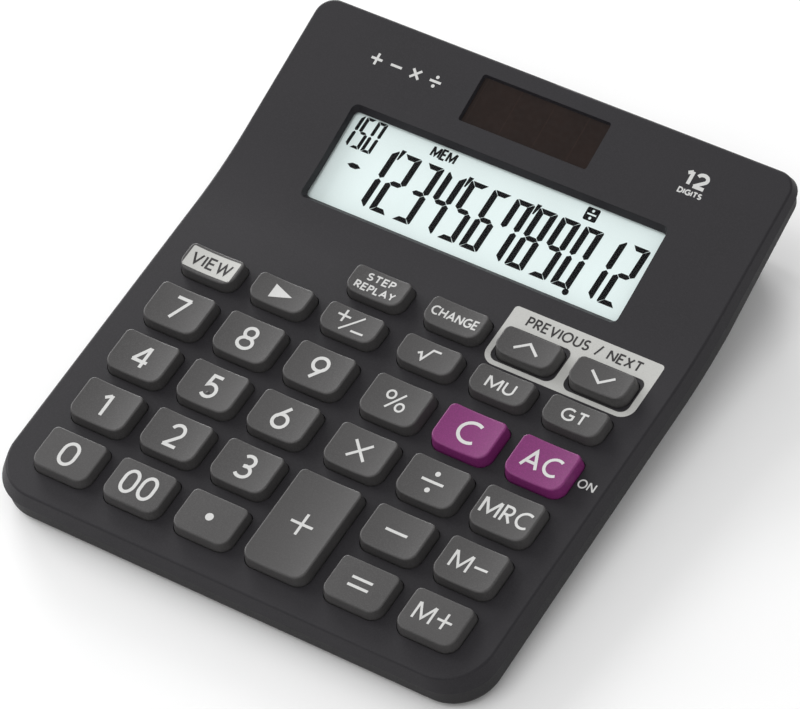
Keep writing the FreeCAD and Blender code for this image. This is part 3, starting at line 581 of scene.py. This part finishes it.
# Each finish has a name, a colour and a roughness.
CASE = moulded("case_grained_plastic", (0.0135, 0.0122, 0.0150), 0.52)
COVER = moulded("cover_grained_plastic", (0.012, 0.0112, 0.0125), 0.58)
KEY = moulded("key_satin_plastic", (0.057, 0.055, 0.055), **KEY_SATIN)
KEY_PURPLE = moulded("key_purple_plastic", (0.175, 0.020, 0.127), **KEY_SATIN)
INNER = moulded("inner_moulded_plastic", (0.45, 0.45, 0.43), 0.5)
FOIL = film("label_foil", (0.42, 0.42, 0.43), 0.34)
PANE = clear_pane("clear_window")
LCD = lcd_face("lcd_reflector", (0.83, 0.93, 0.925))
RIBBON = film("ribbon_film", (0.36, 0.15, 0.03), 0.3, stripe_mm=0.8, stripe=(0.42, 0.24, 0.08))
SOLAR = solar_glass("solar_glass", (0.0150, 0.0080, 0.0062), strip_mm=SOLAR_STRIP)
LEAD_RED = film("lead_insulation", (0.36, 0.03, 0.025), 0.4)
SHEET = rubber("keypad_silicone", (0.30, 0.31, 0.32), 0.55)
BOARD = circuit_board("board_solder_mask", (0.010, 0.095, 0.035), (0.035, 0.21, 0.06))
RESIN = film("chip_resin", (0.010, 0.010, 0.011), 0.25)
SLEEVE = film("capacitor_sleeve", (0.04, 0.06, 0.20), 0.35)
NICKEL = metal("cell_nickel", (0.60, 0.59, 0.56), 0.26, grain=(1.0, 6.0, 1.0))
SPRING_STRIP = metal("contact_strip", (0.58, 0.54, 0.44), 0.3, grain=(6.0, 1.0, 1.0))
ZINC = metal("screw_zinc", (0.48, 0.48, 0.47), 0.32)
FOOT = rubber("foot_rubber", (0.020, 0.020, 0.021), 0.75)
LEGEND_INK = ink("legend_ink", (0.62, 0.62, 0.61))
PANEL_INK = ink("panel_pale_ink", (0.52, 0.52, 0.50))
DARK_INK = ink("panel_dark_ink", (0.030, 0.028, 0.029))
SEGMENT = ink("lcd_segment", (0.004, 0.004, 0.005), 0.5, gloss=0.05)

# Keys that aren't listed are of the plain key plastic.
NODE_FINISH = {
    "top_case": CASE, "rear_cover": COVER, "rating_label": FOIL, "display_window": PANE,
    "lcd_panel": LCD, "lcd_frame": INNER, "lcd_screws": ZINC, "lcd_ribbon": RIBBON,
    "solar_cell": SOLAR, "solar_leads": LEAD_RED, "keypad_sheet": SHEET, "main_board": BOARD,
    "controller_chip": RESIN, "capacitor": SLEEVE, "board_screws": ZINC, "button_cell": NICKEL,
    "cell_lower_contact": SPRING_STRIP, "cell_upper_contact": SPRING_STRIP,
    "battery_leads": LEAD_RED, "case_screws": ZINC, "rubber_feet": FOOT,
    "key_clear": KEY_PURPLE, "key_all_clear": KEY_PURPLE,
}
for node, piece in NODES.items():
    piece.data.materials.clear()
    piece.data.materials.append(NODE_FINISH.get(node, KEY))


# --- key legends --------------------------------------------------------------------------------
DIGIT_WIDTHS = {"0": 4.4, "00": 8.6, "1": 2.5, "2": 4.1, "3": 4.2, "4": 4.7, "5": 4.0, "6": 4.3,
                "7": 4.4, "8": 4.4, "9": 4.3}
DIGIT_HEIGHT = 6.3
DIGIT_STROKE = 0.8
ONE_SHIFT = -0.5            # the 1 stands left of the middle of its key
SIGN_STROKE = 0.65          # of the arithmetic signs
FINE_STROKE = 0.5           # of signs with more parts

# The words on a key, their capital height, width and stroke.
LEGENDS = {}
for digit, width in DIGIT_WIDTHS.items():
    LEGENDS["key_" + digit] = (digit, DIGIT_HEIGHT, width, DIGIT_STROKE)
LEGENDS.update({
    "key_clear": ("C", 6.0, 5.1, 0.8), "key_all_clear": ("AC", 5.0, 9.0, 0.7),
    "key_memory_recall": ("MRC", 4.4, 11.9, 0.6), "key_memory_minus": ("M-", 4.7, 9.1, 0.56),
    "key_memory_plus": ("M+", 4.7, 9.3, 0.56), "key_markup": ("MU", 3.25, 7.1, 0.5),
    "key_grand_total": ("GT", 3.25, 6.2, 0.5), "key_edit": ("CHANGE", 2.4, 11.8, 0.4),
})


def key_print(node, ending="", material=LEGEND_INK, lift=INK_DEPTH):
    """Ink about the middle of a key's top, named after the key."""
    name = node.replace("key_", "legend_", 1) + ending
    return Print(name, node, KEYBOARD, KEYBOARD.middle(node), material, lift)


def bar(mark, half, y=0.0):
    mark.stroke([(-half, y), (half, y)], SIGN_STROKE)


def draw_point(mark):
    mark.dot(0.0, 0.0, radius=0.95)


def draw_plus(mark):
    bar(mark, 2.75)
    mark.stroke([(0.0, -2.8), (0.0, 2.8)], SIGN_STROKE)


def draw_minus(mark):
    bar(mark, 2.7)


def draw_equals(mark):
    for y in (1.0, -1.0):
        bar(mark, 2.55, y)


def draw_times(mark):
    for rise in (2.2, -2.2):
        mark.stroke([(-2.2, -rise), (2.2, rise)], SIGN_STROKE)


def draw_divide(mark):
    bar(mark, 2.7)
    for y in (2.2, -2.2):
        mark.dot(0.0, y, radius=0.62)


def draw_percent(mark):
    for side in (-1, 1):
        mark.stroke(ring((1.7 * side, -1.15 * side), 0.95, 1.0), FINE_STROKE, closed=True)
    mark.stroke([(-1.5, -2.25), (1.5, 2.25)], FINE_STROKE)


def draw_root(mark):
    mark.stroke([(-2.5, -0.35), (-1.8, 0.15), (-1.0, -1.6), (0.4, 1.6), (2.4, 1.6)], FINE_STROKE)


def draw_sign(mark):
    """Plus, slash and minus."""
    mark.stroke([(-4.0, 1.1), (-0.8, 1.1)], FINE_STROKE)
    mark.stroke([(-2.4, -0.5), (-2.4, 2.7)], FINE_STROKE)
    mark.stroke([(-1.9, -2.4), (2.3, 2.3)], 0.9 * FINE_STROKE)
    mark.stroke([(0.9, -1.8), (4.1, -1.8)], FINE_STROKE)


def draw_backspace(mark):
    mark.area([(-2.3, -1.85), (2.9, 0.0), (-2.3, 1.85)])


def draw_chevron(mark, rise):
    mark.stroke([(-2.9, -rise), (0.0, rise), (2.9, -rise)], width=0.62)


def draw_up(mark):
    draw_chevron(mark, 1.15)


def draw_down(mark):
    draw_chevron(mark, -1.15)


def draw_replay(mark):
    for words, width, y in (("STEP", 7.2, 1.4), ("REPLAY", 10.3, -1.4)):
        mark.text(words, height=2.0, width=width, weight=0.38, at=(0.0, y))


SYMBOLS = {
    "key_point": draw_point, "key_plus": draw_plus, "key_minus": draw_minus, "key_equals": draw_equals,
    "key_times": draw_times, "key_divide": draw_divide, "key_percent": draw_percent,
    "key_root": draw_root, "key_sign": draw_sign, "key_backspace": draw_backspace,
    "key_step_up": draw_up, "key_step_down": draw_down, "key_replay": draw_replay,
}


def draw_view():
    """Dark word on a pale ground that covers most of the key's top."""
    ground = key_print("key_view", "_ground", PANEL_INK)
    ground.area(rounded_box(6.3, 2.75, low_radius=0.5, high_radius=0.4))
    ground.finish()
    word = key_print("key_view", "", DARK_INK, SECOND_COAT)
    word.text("VIEW", height=3.2, width=10.4, weight=0.5)
    word.finish()


for node, (words, height, width, weight) in LEGENDS.items():
    legend = key_print(node)
    legend.text(words, height, width, weight, (ONE_SHIFT if words == "1" else 0.0, 0.0))
    legend.finish()
for node, draw in SYMBOLS.items():
    symbol = key_print(node)
    draw(symbol)
    symbol.finish()
draw_view()


# --- prints on the case ---------------------------------------------------------------------------
STEP_KEY_V = KEYBOARD.middle("key_step_up")[1]
STEP_KEYS_X = [KEYBOARD.middle(node)[0] for node in ("key_step_up", "key_step_down")]
STEP_PANEL_HALF = (18.85, 7.8)
STEP_PANEL_CENTRE = (sum(STEP_KEYS_X) / 2 + 0.1, STEP_KEY_V + 2.2)
STEP_OPENING_HALF = (8.0, 4.6)
STEP_OPENING_V = STEP_KEY_V + 0.22
SOLAR_V = DISPLAY.middle("solar_cell")[1]


def case_print(name, face, centre, material=LEGEND_INK, lift=INK_DEPTH):
    return Print(name, "top_case", face, centre, material, lift)


def draw_step_panel():
    """Pale panel round the two step keys, with an opening for each."""
    openings = []
    for x in STEP_KEYS_X:
        centre = (x - STEP_PANEL_CENTRE[0], STEP_OPENING_V - STEP_PANEL_CENTRE[1])
        openings.append(rounded_box(*STEP_OPENING_HALF, low_radius=2.0, high_radius=1.6, centre=centre))
    panel = case_print("step_panel", KEYBOARD, STEP_PANEL_CENTRE, PANEL_INK)
    panel.area(rounded_box(*STEP_PANEL_HALF, low_radius=3.4, high_radius=0.9), openings)
    panel.finish()
    edges = case_print("step_panel_edges", KEYBOARD, STEP_PANEL_CENTRE, DARK_INK, SECOND_COAT)
    for outline in openings:
        edges.stroke(outline, width=0.22, closed=True)
    edges.finish()
    words = case_print("step_panel_words", KEYBOARD, STEP_PANEL_CENTRE, DARK_INK, SECOND_COAT)
    words.text("PREVIOUS / NEXT", height=2.7, width=29.0, weight=0.45, at=(0.0, 5.25))
    words.finish()


def draw_power_word():
    """ON, to the right of the all-clear key."""
    x, v = KEYBOARD.middle("key_all_clear")
    word = case_print("power_word", KEYBOARD, (x + 10.35, v + 0.6))
    word.text("ON", height=2.3, width=4.2, weight=0.34)
    word.finish()


def draw_operator_row():
    """Four plain arithmetic signs to the left of the solar cell."""
    row = case_print("operator_row", DISPLAY, (-34.0, SOLAR_V + 0.2))
    half = 1.45
    slant = 1.1
    stroke = 0.6
    pitch = 5.2
    plus, minus, times, divide = (pitch * step for step in (-1.5, -0.5, 0.5, 1.5))
    row.stroke([(plus - half, 0.0), (plus + half, 0.0)], stroke)
    row.stroke([(plus, -half), (plus, half)], stroke)
    row.stroke([(minus - half, 0.0), (minus + half, 0.0)], stroke)
    for rise in (slant, -slant):
        row.stroke([(times - slant, -rise), (times + slant, rise)], stroke)
    row.stroke([(divide - half, 0.0), (divide + half, 0.0)], stroke)
    for y in (1.15, -1.15):
        row.dot(divide, y, radius=0.42)
    row.finish()


def draw_digit_count():
    mark = case_print("digit_count", DISPLAY, (40.9, SOLAR_V))
    mark.text("12", height=4.0, width=6.0, weight=0.85, at=(0.1, 1.0))
    mark.text("DIGITS", height=1.4, width=6.0, weight=0.32, at=(0.2, -2.35))
    mark.finish()


def draw_label_rules():
    """Frame and two plain rules on the rating label; it carries no words."""
    half_x, half_y = UNDERSIDE.half_size("rating_label")
    inset = 1.5
    rules = Print("label_rules", "rating_label", UNDERSIDE, UNDERSIDE.middle("rating_label"), DARK_INK)
    edge = rounded_box(half_x - inset, half_y - inset, low_radius=1.0, high_radius=1.0)
    rules.stroke(edge, width=0.3, closed=True)
    for y in (-half_y / 3, half_y / 3):
        rules.stroke([(-half_x + inset, y), (half_x - inset, y)], width=0.2)
    rules.finish()


draw_step_panel()
draw_power_word()
draw_operator_row()
draw_digit_count()
draw_label_rules()


# --- display contents --------------------------------------------------------------------------------
WINDOW_CENTRE = DISPLAY.middle("display_window")
FILM_LIFT = 0.04            # top of the display's polarising film over its glass
FILM_MARGIN = (0.6, 0.8)    # how much smaller the film is than the window, at each side
SLANT = 0.063               # sideways lean of the digits
SEGMENT_GAP = 0.1
THOUSANDS = (1, 4, 7)       # digits with a mark in front, counted from 0
AFTER_POINT = 10            # first digit after the point
LIT = {"0": "abcdef", "1": "bc", "2": "abged", "3": "abgcd", "4": "fgbc", "5": "afgcd",
       "6": "afgedc", "7": "fabc", "8": "abcdefg", "9": "gfabcd"}


def segments(width, height, thick):
    """Outlines of the seven segments, keyed a to g, with the digit's low left corner at 0, 0."""
    gap = SEGMENT_GAP
    middle = height / 2
    shapes = {
        "a": [(0.15 * thick + gap, height), (width - 0.15 * thick - gap, height),
              (width - 0.9 * thick, height - 0.72 * thick), (0.9 * thick, height - 0.72 * thick)],
        "f": [(-0.05 * thick, height - 0.25 * thick), (0.1 * thick, height - 0.05 * thick),
              (0.95 * thick - gap, height - 0.7 * thick - gap),
              (0.95 * thick - gap, middle + 0.38 * thick + gap),
              (0.45 * thick, middle + gap), (-0.05 * thick, middle + 0.35 * thick)],
        "g": [(0.5 * thick, middle), (0.9 * thick, middle + 0.36 * thick),
              (width - 0.9 * thick, middle + 0.36 * thick), (width - 0.5 * thick, middle),
              (width - 0.9 * thick, middle - 0.36 * thick), (0.9 * thick, middle - 0.36 * thick)],
    }
    shapes["b"] = [(width - x, y) for x, y in shapes["f"]]
    for low, high in (("d", "a"), ("e", "f"), ("c", "b")):
        shapes[low] = [(x, height - y) for x, y in shapes[high]]
    return shapes


def leaned(points, x, y):
    """Upright points, slanted as the digits are and moved to x, y."""
    return [(x + px + SLANT * py, y + py) for px, py in points]


class DigitRow:
    """A row of slanted seven-segment digits, placed from the low left corner of its first one."""

    def __init__(self, x, y, pitch, width, height, thick):
        self.x = x
        self.y = y
        self.pitch = pitch
        self.height = height
        self.shapes = segments(width, height, thick)

    def left(self, place):
        """x of the low left corner of a digit."""
        return self.x + place * self.pitch

    def draw(self, mark, digits):
        for place, digit in enumerate(digits):
            for name in LIT[digit]:
                mark.area(leaned(self.shapes[name], self.left(place), self.y))

    def draw_thousands_mark(self, mark, place):
        """Small wedge at the top left of a digit."""
        x = self.left(place) + SLANT * self.height - 0.8
        top = self.y + self.height
        mark.area([(x - 0.3, top - 2.1), (x + 0.05, top - 2.1), (x + 0.95, top + 0.5), (x - 0.2, top + 0.55)])


def display_print(name, material=SEGMENT, lift=FILM_LIFT + SECOND_COAT):
    return Print(name, "lcd_panel", DISPLAY, WINDOW_CENTRE, material, lift)


def draw_film():
    """Film a hair over the glass, because the glass and the window share a face."""
    half_x, half_v = (half - less for half, less in zip(DISPLAY.half_size("display_window"), FILM_MARGIN))
    sheet = display_print("display_film", LCD, FILM_LIFT)
    sheet.area(rounded_box(half_x, half_v, low_radius=0.5, high_radius=0.5), step=20.0)
    sheet.finish()


def draw_minus_sign(mark, x, y):
    """Flat lozenge with blunt sides."""
    tip = 1.725
    shoulder = 0.675
    rise = 0.6
    mark.area([(x - tip, y), (x - shoulder, y + rise), (x + shoulder, y + rise), (x + tip, y),
               (x + shoulder, y - rise), (x - shoulder, y - rise)])


def draw_digits():
    """Minus sign, twelve digits with marks at the thousands and a point, and the small step number."""
    main = DigitRow(-31.8396 - WINDOW_CENTRE[0], -8.55, pitch=5.92, width=4.6, height=15.1, thick=1.6)
    step_number = DigitRow(-41.15, 3.2, pitch=3.0, width=2.5, height=8.0, thick=0.92)
    mark = display_print("display_digits")
    main.draw(mark, "123456789012")
    step_number.draw(mark, "150")
    draw_minus_sign(mark, -34.525, main.y + main.height / 2 + 0.4)
    for place in THOUSANDS:
        main.draw_thousands_mark(mark, place)
    mark.dot(main.left(AFTER_POINT) - 1.6, main.y - 0.6, radius=0.78)
    mark.finish()


def draw_memory_word():
    weight = 0.5
    word = display_print("display_memory_word")
    for points, closed in lettering("MEM", height=2.8, width=6.4, weight=weight):
        word.stroke(leaned(points, -16.4, 9.5), weight, closed)
    word.finish()


def draw_divide_icon():
    """Rounded square that leaves the bar and the dots of a divide sign open."""
    x, y = 22.1, 9.35
    half = 1.6
    slot = rounded_box(1.15, 0.2, low_radius=0.05, high_radius=0.05, centre=(x, y))
    dots = [ring((x, y + side * 0.9), 0.36, 0.36, 14) for side in (1, -1)]
    icon = display_print("display_divide_icon")
    icon.area(rounded_box(half, half, low_radius=0.4, high_radius=0.4, centre=(x, y)), [slot, *dots])
    icon.finish()


draw_film()
draw_digits()
draw_memory_word()
draw_divide_icon()


# --- floor, light and camera -----------------------------------------------------------------------------
AIM_SHIFT = Vector((1.8, -1.3, -1.7)) * MM      # from the middle of the object
AIM = (CAD_BOX[0] + CAD_BOX[1]) / 2 + AIM_SHIFT     # what the camera and the lamps face
AZIMUTH = math.radians(42.87)
ELEVATION = math.radians(49.86)
ROLL = math.radians(12.55)
DISTANCE = 1.1064           # from the camera to AIM, in metres
LENS = 231.5                # focal length and sensor width in millimetres
SENSOR = 36.0
FLOOR_HALF = 4.0            # metres


def studio_floor():
    mesh = bpy.data.meshes.new("floor")
    corners = [(x * FLOOR_HALF, y * FLOOR_HALF, 0.0) for x, y in ((-1, -1), (1, -1), (1, 1), (-1, 1))]
    mesh.from_pydata(corners, [], [(0, 1, 2, 3)])
    finish = Finish("floor_paper", 0.9)
    finish.colour(finish.ramp(finish.noise(60.0), (0.93, 0.93, 0.93), (0.95, 0.95, 0.95)))
    mesh.materials.append(finish.material)
    floor = add_object("floor", mesh)


def softbox(name, place, size, power):
    """Square area lamp that faces the calculator."""
    lamp = bpy.data.lights.new(name, "AREA")
    lamp.size = size
    lamp.energy = power
    box = add_object(name, lamp)
    box.location = place
    box.rotation_mode = "QUATERNION"
    box.rotation_quaternion = (AIM - Vector(place)).to_track_quat("-Z", "Y")


def studio_air(strength):
    """Even white light from all round."""
    world = bpy.data.worlds.new("studio")
    world.use_nodes = True
    background = world.node_tree.nodes["Background"]
    background.inputs["Color"].default_value = (1.0, 1.0, 1.0, 1.0)
    background.inputs["Strength"].default_value = strength
    bpy.context.scene.world = world


def camera():
    """Camera at the front right, above the object and turned about its own axis."""
    back = Vector((math.sin(AZIMUTH) * math.cos(ELEVATION), -math.cos(AZIMUTH) * math.cos(ELEVATION),
                   math.sin(ELEVATION)))
    level = Vector((math.cos(AZIMUTH), math.sin(AZIMUTH), 0.0))
    upright = back.cross(level)
    right = level * math.cos(ROLL) - upright * math.sin(ROLL)
    eye = bpy.data.cameras.new("camera")
    eye.lens = LENS
    eye.sensor_width = SENSOR
    eye.clip_start = 0.05
    eye.clip_end = 20.0
    holder = add_object("camera", eye)
    turn = Matrix((right, back.cross(right), back)).transposed().to_4x4()
    holder.matrix_world = Matrix.Translation(AIM + back * DISTANCE) @ turn
    bpy.context.scene.camera = holder


studio_floor()
softbox("rim_light", place=(-1.5, 1.4, 0.5), size=1.0, power=30.0)
softbox("side_light", place=(-1.7, 0.2, 0.9), size=0.8, power=13.0)
softbox("top_light", place=(-0.2, -0.7, 1.8), size=1.2, power=9.0)
studio_air(strength=0.64)
camera()
bpy.context.scene.view_settings.view_transform = "Standard"
